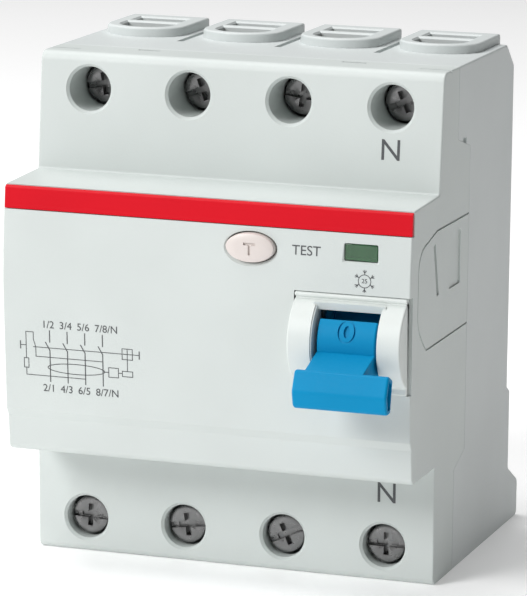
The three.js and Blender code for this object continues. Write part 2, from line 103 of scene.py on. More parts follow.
def fillet(corners, steps=5):
    """Points of a closed outline whose corners (a, b, radius) are rounded with arcs."""
    points = []
    count = len(corners)
    for i, corner in enumerate(corners):
        here = Vector(corner[:2])
        radius = corner[2] if len(corner) > 2 else 0
        if not radius:
            points.append(tuple(here))
            continue
        before = (Vector(corners[i - 1][:2]) - here).normalized()
        after = (Vector(corners[(i + 1) % count][:2]) - here).normalized()
        half = before.angle(after) / 2
        middle = here + (before + after).normalized() * radius / math.sin(half)
        start = here + before * radius / math.tan(half) - middle
        end = here + after * radius / math.tan(half) - middle
        turn = start.angle_signed(end)
        for k in range(steps + 1):
            arm = start.copy()
            arm.rotate(Matrix.Rotation(-turn * k / steps, 2))
            points.append(tuple(middle + arm))
    return points


def rounded(a0, b0, a1, b1, radius, steps=5):
    """A rectangle between two opposite corners, with round corners."""
    corners = [(a0, b0, radius), (a1, b0, radius), (a1, b1, radius), (a0, b1, radius)]
    return fillet(corners, steps)


def place(axis, a, b, along):
    """(y, z) outlines run along x, (x, z) ones along y and (x, y) ones along z."""
    if axis == "x":
        return (along, a, b)
    if axis == "y":
        return (a, along, b)
    return (a, b, along)


def new_object(name, bm):
    bmesh.ops.recalc_face_normals(bm, faces=bm.faces)
    mesh = bpy.data.meshes.new(name)
    bm.to_mesh(mesh)
    bm.free()
    obj = bpy.data.objects.new(name, mesh)
    bpy.context.scene.collection.objects.link(obj)
    return obj


def loft(name, rings):
    """A closed solid through rings of points, each ring with the same number of them."""
    bm = bmesh.new()
    loops = [[bm.verts.new(point) for point in ring] for ring in rings]
    for low, high in zip(loops, loops[1:]):
        for i in range(len(low)):
            j = (i + 1) % len(low)
            bm.faces.new((low[i], low[j], high[j], high[i]))
    bm.faces.new(loops[0])
    bm.faces.new(loops[-1])
    return new_object(name, bm)


def prism(name, points, axis, start, end):
    return loft(name, [[place(axis, a, b, at) for a, b in points] for at in (start, end)])


def scaled(points, grow):
    """An outline grown outwards by about that much on every side."""
    xs = [p[0] for p in points]
    ys = [p[1] for p in points]
    cx, cy = (min(xs) + max(xs)) / 2, (min(ys) + max(ys)) / 2
    fx = 1 + 2 * grow / (max(xs) - min(xs))
    fy = 1 + 2 * grow / (max(ys) - min(ys))
    return [(cx + (x - cx) * fx, cy + (y - cy) * fy) for x, y in points]


def flared(name, points, axis, inner, face, chamfer):
    """A cutter that opens out by a chamfer where it meets the face."""
    out = 1 if face > inner else -1
    wide = scaled(points, 3 * chamfer)
    rings = [
        (points, inner),
        (points, face - out * chamfer),
        (wide, face + out * 2 * chamfer),
    ]
    return loft(name, [[place(axis, a, b, at) for a, b in ring] for ring, at in rings])


def cuboid(name, low, high):
    points = [(low[0], low[1]), (high[0], low[1]), (high[0], high[1]), (low[0], high[1])]
    return prism(name, points, "z", low[2], high[2])


def circle(a, b, radius, steps=40, squash=1.0):
    return [
        (
            a + radius * math.cos(2 * math.pi * k / steps),
            b + radius * squash * math.sin(2 * math.pi * k / steps),
        )
        for k in range(steps)
    ]


def turned(name, profile, axis, centre_a, centre_b, steps=40):
    """A solid of revolution about an axis, from (radius, along) pairs."""
    rings = [
        [place(axis, a, b, along) for a, b in circle(centre_a, centre_b, radius, steps)]
        for radius, along in profile
    ]
    return loft(name, rings)


def bake(obj):
    """Applies the object's modifiers."""
    graph = bpy.context.evaluated_depsgraph_get()
    mesh = bpy.data.meshes.new_from_object(obj.evaluated_get(graph))
    obj.modifiers.clear()
    obj.data = mesh
    return obj


def bevel(obj, width, segments=3, angle=30, weight=None):
    """Rounds the edges sharper than an angle, or those that weight(v1, v2) picks."""
    modifier = obj.modifiers.new("bevel", "BEVEL")
    modifier.width = width
    modifier.segments = segments
    modifier.limit_method = "ANGLE"
    modifier.angle_limit = math.radians(angle)
    if weight:
        modifier.limit_method = "WEIGHT"
        mesh = obj.data
        layer = mesh.attributes.new("bevel_weight_edge", "FLOAT", "EDGE")
        for edge in mesh.edges:
            ends = [mesh.vertices[i].co for i in edge.vertices]
            layer.data[edge.index].value = weight(*ends)
    return bake(obj)


def boolean(obj, tools, operation="DIFFERENCE"):
    for tool in tools:
        modifier = obj.modifiers.new("boolean", "BOOLEAN")
        modifier.operation = operation
        modifier.solver = "EXACT"
        modifier.object = tool
    bake(obj)
    for tool in tools:
        bpy.data.objects.remove(tool)
    return obj


def cut(obj, *tools):
    return boolean(obj, tools)


def join(obj, *tools):
    return boolean(obj, tools, "UNION")


def merged(name, objects):
    """Separate solids gathered into one mesh."""
    bm = bmesh.new()
    for obj in objects:
        bm.from_mesh(obj.data)
        bpy.data.objects.remove(obj)
    return new_object(name, bm)


def finish_piece(obj, name, body, nodes, materials, sharp=32, weighted=True):
    """Names a piece, shades it, scales it to metres and hands it to the frame."""
    obj.name = name
    bm = bmesh.new()
    bm.from_mesh(obj.data)
    bmesh.ops.dissolve_degenerate(bm, dist=1e-4, edges=bm.edges)
    for face in bm.faces:
        face.smooth = True
    for edge in bm.edges:
        edge.smooth = edge.calc_face_angle(0) < math.radians(sharp)
    bm.to_mesh(obj.data)
    bm.free()
    obj.data.transform(TO_METRES)
    if weighted:
        modifier = obj.modifiers.new("weighted", "WEIGHTED_NORMAL")
        modifier.keep_sharp = True
        bake(obj)
    obj.data.materials.clear()
    for material in materials:
        obj.data.materials.append(material)
    if nodes:
        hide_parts(*nodes)
    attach(obj, body)
    return obj


# ---- materials ----


class Shader:
    """A principled material whose colour, roughness and bump come from noise."""

    def __init__(self, name):
        self.material = bpy.data.materials.new(name)
        self.material.use_nodes = True
        self.tree = self.material.node_tree
        self.principled = self.tree.nodes["Principled BSDF"]
        self.coordinates = self.tree.nodes.new("ShaderNodeTexCoord").outputs["Object"]

    def link(self, output, node_input):
        self.tree.links.new(output, node_input)

    def set(self, **values):
        for key, value in values.items():
            self.principled.inputs[key.replace("_", " ")].default_value = value

    def noise(self, scale, detail=3.0, stretch=(1, 1, 1)):
        mapping = self.tree.nodes.new("ShaderNodeMapping")
        mapping.inputs["Scale"].default_value = stretch
        self.link(self.coordinates, mapping.inputs["Vector"])
        noise = self.tree.nodes.new("ShaderNodeTexNoise")
        noise.inputs["Scale"].default_value = scale
        noise.inputs["Detail"].default_value = detail
        self.link(mapping.outputs["Vector"], noise.inputs["Vector"])
        return noise.outputs["Fac"]

    def spread(self, factor, low, high):
        """A noise value spread between two numbers."""
        node = self.tree.nodes.new("ShaderNodeMapRange")
        node.inputs["From Min"].default_value = 0.3
        node.inputs["From Max"].default_value = 0.7
        node.inputs["To Min"].default_value = low
        node.inputs["To Max"].default_value = high
        self.link(factor, node.inputs["Value"])
        return node.outputs["Result"]

    def colour(self, factor, first, second):
        mix = self.tree.nodes.new("ShaderNodeMix")
        mix.data_type = "RGBA"
        mix.inputs["A"].default_value = (*first, 1)
        mix.inputs["B"].default_value = (*second, 1)
        self.link(self.spread(factor, 0.0, 1.0), mix.inputs["Factor"])
        self.link(mix.outputs["Result"], self.principled.inputs["Base Color"])

    def roughness(self, factor, low, high):
        self.link(self.spread(factor, low, high), self.principled.inputs["Roughness"])

    def bump(self, factor, height, strength=1.0):
        node = self.tree.nodes.new("ShaderNodeBump")
        node.inputs["Distance"].default_value = height
        node.inputs["Strength"].default_value = strength
        self.link(factor, node.inputs["Height"])
        self.link(node.outputs["Normal"], self.principled.inputs["Normal"])


def moulded(name, colour, rough=0.5, grain=2600, height=1.5e-5, vary=0.025, sheen=0.5):
    """Injection-moulded plastic: a fine eroded grain and a faint flow mottling."""
    shader = Shader(name)
    shader.set(IOR=1.5, Specular_IOR_Level=sheen)
    lighter = [min(1, c * (1 + vary)) for c in colour]
    darker = [c * (1 - vary) for c in colour]
    shader.colour(shader.noise(55, 2), darker, lighter)
    fine = shader.noise(grain, 2)
    shader.roughness(fine, rough - 0.06, rough + 0.06)
    shader.bump(fine, height)
    return shader.material


def metal(name, colour, rough, stretch=(1, 1, 1), grain=900, height=1.2e-5):
    """Worked metal: tool or rolling marks along one direction and patchy plating."""
    shader = Shader(name)
    shader.set(Metallic=1.0)
    darker = [c * 0.78 for c in colour]
    shader.colour(shader.noise(260, 3), darker, colour)
    marks = shader.noise(grain, 4, stretch)
    shader.roughness(marks, rough - 0.08, rough + 0.12)
    shader.bump(marks, height)
    return shader.material


def tinted_pane(name, colour):
    shader = Shader(name)
    shader.set(Transmission_Weight=0.75, IOR=1.49, Coat_Weight=0.3, Coat_Roughness=0.05)
    shader.colour(shader.noise(90, 2), [c * 0.9 for c in colour], colour)
    shader.roughness(shader.noise(400, 2), 0.06, 0.12)
    return shader.material


def ink(name, colour):
    """Pad-printed ink, slightly uneven."""
    shader = Shader(name)
    shader.colour(shader.noise(1500, 3), [c * 0.8 for c in colour], colour)
    shader.roughness(shader.noise(900, 2), 0.5, 0.65)
    return shader.material


MAT = {
    "cover": moulded("cover_plastic", (0.585, 0.625, 0.61), rough=0.52),
    "base": moulded("base_plastic", (0.6, 0.635, 0.63), rough=0.5),
    "bezel": moulded("surround_plastic", (0.68, 0.72, 0.7), rough=0.46, grain=3400),
    "stripe": moulded("red_strip", (0.62, 0.004, 0.014), rough=0.5, vary=0.04, sheen=0.12),
    "toggle": moulded(
        "toggle_plastic", (0.0, 0.24, 0.48), rough=0.5, vary=0.05, height=1e-5, sheen=0.12
    ),
    # A darker blue for the groove faces of the toggle's zero mark: painted shade in its grooves.
    "groove_painted_shade": moulded("toggle_groove_painted_shade", (0.0, 0.06, 0.2), rough=0.5),
    "button": moulded("button_plastic", (0.66, 0.6, 0.57), rough=0.4, height=1e-5),
    "flag": moulded("flag_green", (0.01, 0.16, 0.04), rough=0.5),
    "flag_red": moulded("flag_red", (0.5, 0.01, 0.01), rough=0.5),
    "inner_plastic": moulded("inner_plastic", (0.17, 0.18, 0.2), rough=0.55),
    "black_plastic": moulded("black_plastic", (0.015, 0.015, 0.016), rough=0.5),
    "lens": tinted_pane("window_pane", (0.08, 0.3, 0.12)),
    "ink": ink("print_ink", (0.085, 0.09, 0.095)),
    "screw": metal("screw_steel", (0.22, 0.22, 0.22), 0.3, (1, 6, 1)),
    "steel": metal("bright_steel", (0.6, 0.6, 0.62), 0.3, (0.2, 1, 1)),
    "spring_steel": metal("spring_steel", (0.4, 0.4, 0.42), 0.35),
    "zinc": metal("zinc_plate", (0.66, 0.67, 0.68), 0.36, (1, 1, 0.2)),
    "copper": metal("copper_strip", (0.72, 0.38, 0.24), 0.32, (1, 1, 0.15)),
    "brass": metal("spring_brass", (0.78, 0.6, 0.28), 0.32),
    "enamel_wire": metal("enamelled_wire", (0.45, 0.16, 0.06), 0.3, (0.1, 0.1, 8)),
}


def dress_cad_nodes():
    """Gives every CAD node the material of its slot."""
    slots = {row["node"]: row["material_slot"] for row in frame["record"]["subparts"]}
    for name, obj in frame["nodes"].items():
        obj.data.materials.clear()
        obj.data.materials.append(MAT[slots[name]])


# ---- housing ----


def cover_outline():
    return fillet(
        [
            (LOW_SPLIT_Y, BOTTOM),
            (-42.6, BOTTOM, 1.3),
            (SHOULDER_Y, NOSE_BOTTOM, 0.3),
            (-55.6, NOSE_BOTTOM, 1.3),
            (-56.15, -16.6, 0.3),
            (-56.95, -15.2, 0.4),
            (-58.3, 6, 20),
            (-58.2, 12, 20),
            (-57.4, NOSE_TOP, 1.2),
            (SHOULDER_Y, NOSE_TOP + 0.4, 0.4),
            (-41.4, TOP, 1.7),
            (TOP_SPLIT_Y, TOP),
            (TOP_SPLIT_Y, 30.5),
            (MIDDLE_SPLIT_Y, 28.5),
            (MIDDLE_SPLIT_Y, -23),
            (LOW_SPLIT_Y, -25.2),
        ]
    )


def face_y(z):
    """The y of the nose's front face at a height, for print and shallow seats."""
    line = [
        (NOSE_BOTTOM, -55.6),
        (-16.6, -56.15),
        (-15.2, -56.95),
        (6, -58.3),
        (12, -58.2),
        (NOSE_TOP, -57.4),
    ]
    for (z0, y0), (z1, y1) in zip(line, line[1:]):
        if z <= z1:
            t = (z - z0) / (z1 - z0)
            return y0 + (y1 - y0) * max(t, 0)
    return line[-1][1]


def shoulder_y(z):
    """The y of a terminal shoulder's front face at a height."""
    if z > 0:
        t = (z - NOSE_TOP - 0.4) / (TOP - NOSE_TOP - 0.4)
        return SHOULDER_Y + 1.6 * t
    t = (NOSE_BOTTOM - z) / (NOSE_BOTTOM - BOTTOM)
    return SHOULDER_Y + 0.4 * t


EDGE_R = 0.75
PARTING_R = 0.16


def outer_edge_weight(first, second):
    """Full rounding on the front edges of both ends, a fine one along the parting line."""
    at_end = abs(abs(first.x) - HALF_WIDTH) < 0.01 and abs(first.x - second.x) < 0.01
    if min(first.y, second.y) > TOP_SPLIT_Y - 0.01:
        return PARTING_R / EDGE_R
    return 1.0 if at_end else 0.0


def screw_hole(x, z):
    """A round hole whose rim follows the lean of the shoulder."""
    face = shoulder_y(z)
    tool = turned(
        "hole",
        [(SCREW_HOLE_R, -20), (SCREW_HOLE_R, face + 0.45), (SCREW_HOLE_R + 0.9, face - 0.45)],
        "y",
        x,
        z,
        56,
    )
    slope = 1.6 / (TOP - NOSE_TOP) if z > 0 else -0.4 / (NOSE_BOTTOM - BOTTOM)
    for vertex in tool.data.vertices:
        if vertex.co.y < -25:
            vertex.co.y += (vertex.co.z - z) * slope
    return tool


def build_cover():
    cover = prism("front_cover_shell", cover_outline(), "x", -HALF_WIDTH, HALF_WIDTH)
    bevel(cover, EDGE_R, segments=4, weight=outer_edge_weight)
    hollow = fillet(
        [
            (-20, BOTTOM + WALL),
            (-40.8, BOTTOM + WALL),
            (SHOULDER_Y + WALL, NOSE_BOTTOM + WALL),
            (-53.8, NOSE_BOTTOM + WALL),
            (-56.2, 6),
            (-56.0, 14),
            (-55.6, NOSE_TOP - WALL),
            (SHOULDER_Y + WALL, NOSE_TOP - WALL),
            (-39.6, TOP - WALL),
            (-20, TOP - WALL),
        ]
    )
    cut(cover, prism("hollow", hollow, "x", -HALF_WIDTH + WALL, HALF_WIDTH - WALL))
    walls = []
    for up in SIDES.values():
        back = TOP_SPLIT_Y - 0.6 if up > 0 else LOW_SPLIT_Y - 5
        tubes = [
            turned("tube", [(5.2, SHOULDER_Y + 1.9), (5.2, back)], "y", x, up * SCREW_Z, 40)
            for x in POLE_X
        ]
        walls.append(merged("tubes", tubes))
        low, high = sorted((up * 27.4, up * 29))
        walls.append(cuboid("rib", (-34, SHOULDER_Y + 1, low), (34, TOP_SPLIT_Y - 0.4, high)))
    join(cover, *walls)
    holes = [screw_hole(x, up * SCREW_Z) for x in POLE_X for up in SIDES.values()]
    cut(cover, merged("holes", holes))
    cut_nose(cover)
    cut_cover_details(cover)
    return finish_piece(
        cover, "front_cover_shell", "housing", ["front_cover"], [MAT["cover"]]
    )


def cut_nose(cover):
    """Seats and windows in the nose for the surround, strip, button and status window."""
    stripe_low, stripe_high = stripe_box()
    pane_low, pane_high = box_mm("indicator_window")
    cut(
        cover,
        cuboid("surround_seat", (15.48, -70, -7.32), (40, -56.95, 8.72)),
        cuboid("lever_window", (19.4, -70, -6.4), (30.9, -50, 7.2)),
        cuboid("shaft_window", (15.7, -70, -2.6), (33, -50, 4)),
    )
    cut(
        cover,
        cuboid(
            "strip_seat",
            (stripe_low.x - 0.12, -60, stripe_low.z - 0.12),
            (stripe_high.x + 0.12, stripe_high.y + 0.2, stripe_high.z + 0.35),
        ),
    )
    oval = circle(BUTTON.x, BUTTON.z, BUTTON_HALF.x + 0.22, 56, (2.4 + 0.22) / (4.15 + 0.22))
    gap = 0.15
    pane = rounded(
        pane_low.x - gap, pane_low.z - gap, pane_high.x + gap, pane_high.z + gap, 0.3
    )
    sight = scaled(pane, -0.45)
    cut(
        cover,
        merged(
            "openings",
            [
                flared("button_hole", oval, "y", -50, face_y(BUTTON.z), 0.25),
                flared("pane_seat", pane, "y", -57.0, face_y(pane_low.z + 1.2), 0.15),
            ],
        ),
    )
    cut(cover, prism("sight", sight, "y", -60, -50))


def groove(points, width, axis, start, end, closed=False):
    """A thin bar that follows a line of points, used as a cutter."""
    bars = []
    pairs = list(zip(points, points[1:]))
    if closed:
        pairs.append((points[-1], points[0]))
    for first, second in pairs:
        a, b = Vector(first), Vector(second)
        side = (b - a).normalized().orthogonal() * width / 2
        ahead = (b - a).normalized() * width / 2
        corners = [a - ahead + side, b + ahead + side, b + ahead - side, a - ahead - side]
        bars.append(prism("bar", [tuple(c) for c in corners], axis, start, end))
    return bars


def cut_cover_details(cover):
    """Mould slots in the top strip, the groove of the nose, and the marks on the sides."""
    slots = [
        cuboid("slot", (x - half, -35.4, TOP - 1.0), (x + half, -34.6, TOP + 1))
        for x, half in ((-18.2, 1.9), (17.6, 2.1))
    ]
    notches = [
        cuboid("notch", (side * 32.5 - 3, -37.6, TOP - 0.5), (side * 32.5 + 3, -37.2, TOP + 1))
        for side in (-1, 1)
    ]
    cut(cover, merged("slots", slots + notches))
    depth = 0.3
    for side in (-1, 1):
        start, end = sorted((side * (HALF_WIDTH - depth), side * (HALF_WIDTH + 1)))
        shield = fillet(
            [
                (-26.0, 17.2),
                (-44.0, 17.3, 2),
                (-54.0, 15.2, 4),
                (-54.2, 3.0, 5),
                (-49.5, -1.4, 3),
                (-26.0, -1.3),
            ]
        )
        cut(cover, *groove_strip(shield, 0.35, start, end))
        deep_start, deep_end = sorted((side * (HALF_WIDTH - 1.4), side * (HALF_WIDTH + 1)))
        slot_line = [(-45.3, 14.6), (-43.3, 7.0)]
        cut(cover, *groove(slot_line, 1.1, "x", deep_start, deep_end))
        plate = rounded(-36.8, 6.3, -30.6, 15.4, 0.4)
        cut(cover, prism("plate", plate, "x", start, end))


def groove_strip(points, width, start, end):
    """One closed ribbon of constant width along an open line, as a single cutter."""
    left = []
    right = []
    for i, point in enumerate(points):
        here = Vector(point)
        before = Vector(points[max(i - 1, 0)])
        after = Vector(points[min(i + 1, len(points) - 1)])
        side = (after - before).normalized().orthogonal() * width / 2
        left.append(tuple(here + side))
        right.append(tuple(here - side))
    return [prism("ribbon", left + right[::-1], "x", start, end)]


def collar_outline(x, half, front, back, steps=9):
    """Seen from above: straight at the back and sides, an arc in front."""
    shoulder = front + half * 0.75
    arc = []
    for k in range(steps + 1):
        angle = math.pi * k / steps
        arc.append((x + half * math.cos(angle), shoulder - (shoulder - front) * math.sin(angle)))
    return [(x - half, back), (x + half, back)] + arc


def build_base():
    g = 0.15
    points = fillet(
        [
            (LOW_SPLIT_Y + g, BOTTOM),
            (8, BOTTOM, 1.2),
            (8, -36, 1.2),
            (1.8, -32.6, 0.8),
            (1.8, -18.8, 0.8),
            (0, -17.7, 0.3),
            (0, 38.5, 0.6),
            (-4.5, TOP, 0.8),
            (TOP_SPLIT_Y + g, TOP),
            (TOP_SPLIT_Y + g, 30.5),
            (MIDDLE_SPLIT_Y + g, 28.5),
            (MIDDLE_SPLIT_Y + g, -23),
            (LOW_SPLIT_Y + g, -25.2),
        ]
    )
    base = prism("rear_housing_shell", points, "x", -HALF_WIDTH, HALF_WIDTH)

    def edge_weight(first, second):
        at_end = abs(first.x - second.x) < 0.01
        parting = max(first.y, second.y) < MIDDLE_SPLIT_Y + g + 0.01
        if parting:
            return PARTING_R / EDGE_R
        return 0.8 if at_end else 0.0

    bevel(base, EDGE_R, segments=3, weight=edge_weight)
    cut(base, cuboid("chamber", (-33, -40, -26.4), (33, -3.4, 27)))
    collars = [
        prism("collar", collar_outline(x, 7.1, -20, -3), "z", 41.5, TOP + 1.6) for x in POLE_X
    ]
    join(base, bevel(merged("collars", collars), 0.4, 3))
    cut_base_terminals(base)
    cut_base_outside(base)
    return finish_piece(
        base, "rear_housing_shell", "housing", ["rear_housing"], [MAT["base"]]
    )


def cut_base_terminals(base):
    pockets = []
    plates = []
    entries = []
    for up in SIDES.values():
        face = TOP + 1.6 if up > 0 else -TOP
        for x in POLE_X:
            low, high = sorted((up * 30, up * 41))
            pockets.append(cuboid("pocket", (x - 7.2, -40, low), (x + 7.2, -3.4, high)))
            low, high = sorted((up * 25, up * 31))
            plates.append(cuboid("plate_slot", (x - 4.7, -21.1, low), (x + 4.7, -19.3, high)))
            arch = collar_outline(x, 4.6, -18.6, -12.0)
            bar = [(x - 4.4, -10.6), (x + 4.4, -10.6), (x + 4.4, -6.0), (x - 4.4, -6.0)]
            for outline in (arch, bar):
                entries.append(flared("entry", outline, "z", up * 40.6, face, 0.3))
    cut(base, merged("pockets", pockets), merged("plate_slots", plates))
    cut(base, merged("entries", entries))


def cut_base_outside(base):
    """Clip guideways, slots between the poles, relief steps below, grooves on the sides."""
    tools = [cuboid("guide", (x - 10.3, -1.7, 20), (x + 10.3, 5, 50)) for x in CLIP_X]
    tools.append(cuboid("guide", (-9.3, -1.7, -50), (9.3, 20, -17.6)))
    cut(base, merged("guides", tools))
    slots = []
    for x in (-17.5, 0, 17.5):
        slots.append(cuboid("slot", (x - 0.55, -22.5, TOP - 1.6), (x + 0.55, -4.5, TOP + 1)))
        slots.append(cuboid("slot", (x - 0.55, -29, BOTTOM - 1), (x + 0.55, -4.5, BOTTOM + 1.6)))
    cut(base, merged("pole_slots", slots))
    grooves = []
    for side in (-1, 1):
        start, end = sorted((side * (HALF_WIDTH - 0.5), side * (HALF_WIDTH + 1)))
        notch = [(-30.6, 29.6), (-28.2, 29.2), (-28.2, 30.2), (-30.6, 30.4)]
        grooves.append(prism("notch", notch, "x", start, end))
    cut(base, merged("side_grooves", grooves))


def build_rail_clips():
    for name in ("left", "right"):
        low, high = box_mm(f"upper_rail_clip_{name}")
        points = fillet(
            [
                (-1.4, 20.4),
                (-1.4, high.z),
                (0.7, high.z, 0.4),
                (0.7, 35.9, 0.2),
                (0.0, 35.4, 0.2),
                (1.0, 34.8, 0.3),
                (4.8, 18.6, 0.8),
                (4.4, 16.4, 0.9),
                (2.3, 16.6, 0.6),
                (2.1, 20.2),
                (0.2, 20.4),
            ]
        )
        clip = prism("clip", points, "x", low.x, high.x)
        bevel(clip, 0.35, 2, 50)
        body = f"upper_clip_{name}"
        node = f"upper_rail_clip_{name}"
        finish_piece(clip, f"rail_clip_{name}", body, [node], [MAT["base"]])
    low, high = box_mm("lower_rail_clip")
    points = fillet(
        [
            (-1.4, low.z),
            (high.y, low.z, 0.8),
            (high.y, -37.5, 0.5),
            (1.4, -36.6, 0.3),
            (1.4, -21),
            (3.6, -18.4, 0.4),
            (3.4, high.z, 0.6),
            (2.2, -16.6, 0.3),
            (2.1, -17.8),
            (-1.4, -18.2),
        ]
    )
    clip = prism("clip", points, "x", low.x, high.x)
    bevel(clip, 0.35, 2, 50)
    slot = cuboid("pull_slot", (-3.5, 2.2, -41.0), (3.5, 3.6, -30))
    cut(clip, slot)
    finish_piece(
        clip, "rail_clip_lower", "lower_clip", ["lower_rail_clip"], [MAT["base"]]
    )


# ---- front details ----


def stripe_box():
    """The visible strip's box: a little wider and higher than its plain CAD form."""
    low, high = box_mm("red_stripe")
    reach = HALF_WIDTH - 0.1
    return Vector((-reach, low.y, low.z + 0.4)), Vector((reach, high.y, high.z + 0.45))


def build_stripe():
    """A red strip that follows the nose and leans back along its top edge."""
    low, high = stripe_box()
    depth = high.y
    points = [(depth, low.z)]
    steps = 8
    bead = 0.35
    for k in range(steps + 1):
        z = low.z + (high.z - bead - low.z) * k / steps
        points.append((face_y(z) + 0.05, z))
    points.append((face_y(high.z) + 0.45, high.z))
    points.append((depth, high.z))
    strip = prism("strip", points, "x", low.x, high.x)
    bevel(strip, 0.1, 2, 30)
    finish_piece(strip, "red_strip", "housing", ["red_stripe"], [MAT["stripe"]])


def build_bezel():
    """A whiter hump around the toggle, with a slot that has a sloping lip at its top."""
    low, high = box_mm("toggle_bezel")
    half = math.radians(64)
    steps = 30
    arc = []
    for k in range(steps + 1):
        angle = half - 2 * half * k / steps
        arc.append((HUMP_Y - HUMP_R * math.cos(angle), HUMP_Z + HUMP_R * math.sin(angle)))
    back = SURROUND_BACK
    points = [(back, high.z), (-58.3, high.z), (-58.5, high.z - 0.5)] + arc
    points += [(-58.1, low.z), (back, low.z)]
    bezel = prism("bezel", points, "x", low.x, high.x)
    bevel(bezel, 0.7, 5, 50)
    window = [(SLOT_X[x], SLOT_Z[z]) for x, z in ((0, 0), (1, 0), (1, 1), (0, 1))]
    cut(bezel, prism("slot", window, "y", -80, -40))
    rim = scaled(window, 0.22)
    ring = prism("rim", rim, "y", -80, -57.9)
    cut(ring, turned_x("inner", HUMP_R - 0.22, 10, 36, HUMP_Y, HUMP_Z, 96))
    cut(bezel, ring)
    lip = [(-59.3, 7.3), (-58.6, 6.0), (-58.1, 6.1), (-57.2, 6.5), (-57.2, 7.3)]
    join(bezel, prism("lip", lip, "x", SLOT_X[0] - 0.6, SLOT_X[1] + 0.6))
    for start, end in ((16.0, 16.9), (31.6, 32.5)):
        lug = cuboid("lug", (start, -57.6, TOGGLE.z - 2.6), (end, -52.6, TOGGLE.z + 2.6))
        join(bezel, lug)
    cut(bezel, turned_x("bearing", 1.65, 12, 33.5, TOGGLE.y, TOGGLE.z, 32))
    finish_piece(
        bezel, "toggle_surround", "housing", ["toggle_bezel"], [MAT["bezel"]]
    )


def turned_x(name, radius, start, end, y, z, steps=48):
    return prism(name, circle(y, z, radius, steps), "x", start, end)


ZERO_ANGLE = math.radians(24)
# Corners of the step cut into the drum: reach from its axis, degrees up from the front.
DRUM_STEP = ((3.2, 120), (7.5, 120), (9, 80), (7.5, 43), (3.2, 43))


def tilted(obj):
    """Turns an object built facing -y at the toggle axis up to the zero's place."""
    turn = Matrix.Translation(TOGGLE) @ Matrix.Rotation(-ZERO_ANGLE, 4, "X")
    obj.data.transform(turn @ Matrix.Translation(-TOGGLE))
    return obj


def build_toggle():
    x0, x1 = TOGGLE_LEFT, TOGGLE_RIGHT
    y, z = TOGGLE.y, TOGGLE.z
    drum = bevel(turned_x("drum", DRUM_R, x0, x1, y, z, 96), 0.3, 3, 50)
    neck = fillet(
        [
            (y, z),
            (-60.6, -0.2, 0.2),
            (-67.2, -2.2),
            (-66.6, -6.2),
            (-60.0, -3.9, 0.6),
            (y, z - 4),
        ]
    )
    neck = bevel(prism("neck", neck, "x", x0, x1), 0.3, 3, 50)
    grip_points = [
        (-67.4, -1.9, 0.7),
        (-69.0, -5.4, 1.4),
        (-68.3, -8.3, 1.1),
        (-66.3, -8.3, 0.6),
        (-65.2, -3.0, 0.5),
    ]
    high = box_mm("toggle_lever")[1]
    grip = prism("grip", fillet(grip_points, 7), "x", 18.8, high.x)
    bevel(grip, 0.4, 4, 50)
    recess = scaled(fillet([(a, b, 0.4) for a, b, _ in grip_points], 4), -0.75)
    for start, end in ((high.x - 1.8, high.x + 1), (17.8, 18.8 + 1.8)):
        cut(grip, prism("recess", recess, "x", start, end))
    join(drum, neck)
    join(drum, grip)
    cx = (x0 + x1) / 2
    face = y - DRUM_R
    outer = circle(cx, z, 1.5, 40, 1.3)
    inner = circle(cx, z, 1.22, 40, 1.36)
    heart = circle(cx, z, 0.5, 28, 2.0)
    for tool in (outer, inner, heart):
        tool.reverse()
    ring = prism("ring", outer, "y", face - 1, face + 0.32)
    cut(ring, prism("ring_inner", inner, "y", face - 2, face + 2))
    pocket = prism("heart", heart, "y", face - 1, face + 0.42)
    mark = [tilted(ring), tilted(pocket)]
    # The cutters carry the darker blue, so the walls and floors of the zero mark's ring groove
    # and pocket get painted shade.
    for tool in mark:
        tool.data.materials.append(MAT["toggle"])
        tool.data.materials.append(MAT["groove_painted_shade"])
        for polygon in tool.data.polygons:
            polygon.material_index = 1
    drum.data.materials.append(MAT["toggle"])
    drum.data.materials.append(MAT["groove_painted_shade"])
    cut(drum, *mark)
    cut(drum, turned_x("bore", 1.75, 0, 50, y, z, 32))
    step = []
    for reach, degrees in DRUM_STEP:
        angle = math.radians(degrees)
        step.append((y - reach * math.cos(angle), z + reach * math.sin(angle)))
    cut(drum, prism("step", step, "x", x0 - 1, x1 + 1))
    crank_y, crank_z = y + 2, z + 3.46
    join(drum, turned_x("crank", 0.8, 18.0, x0 + 0.5, crank_y, crank_z, 20))
    finish_piece(
        drum,
        "toggle",
        "toggle",
        ["toggle_lever"],
        [MAT["toggle"], MAT["groove_painted_shade"]],
    )


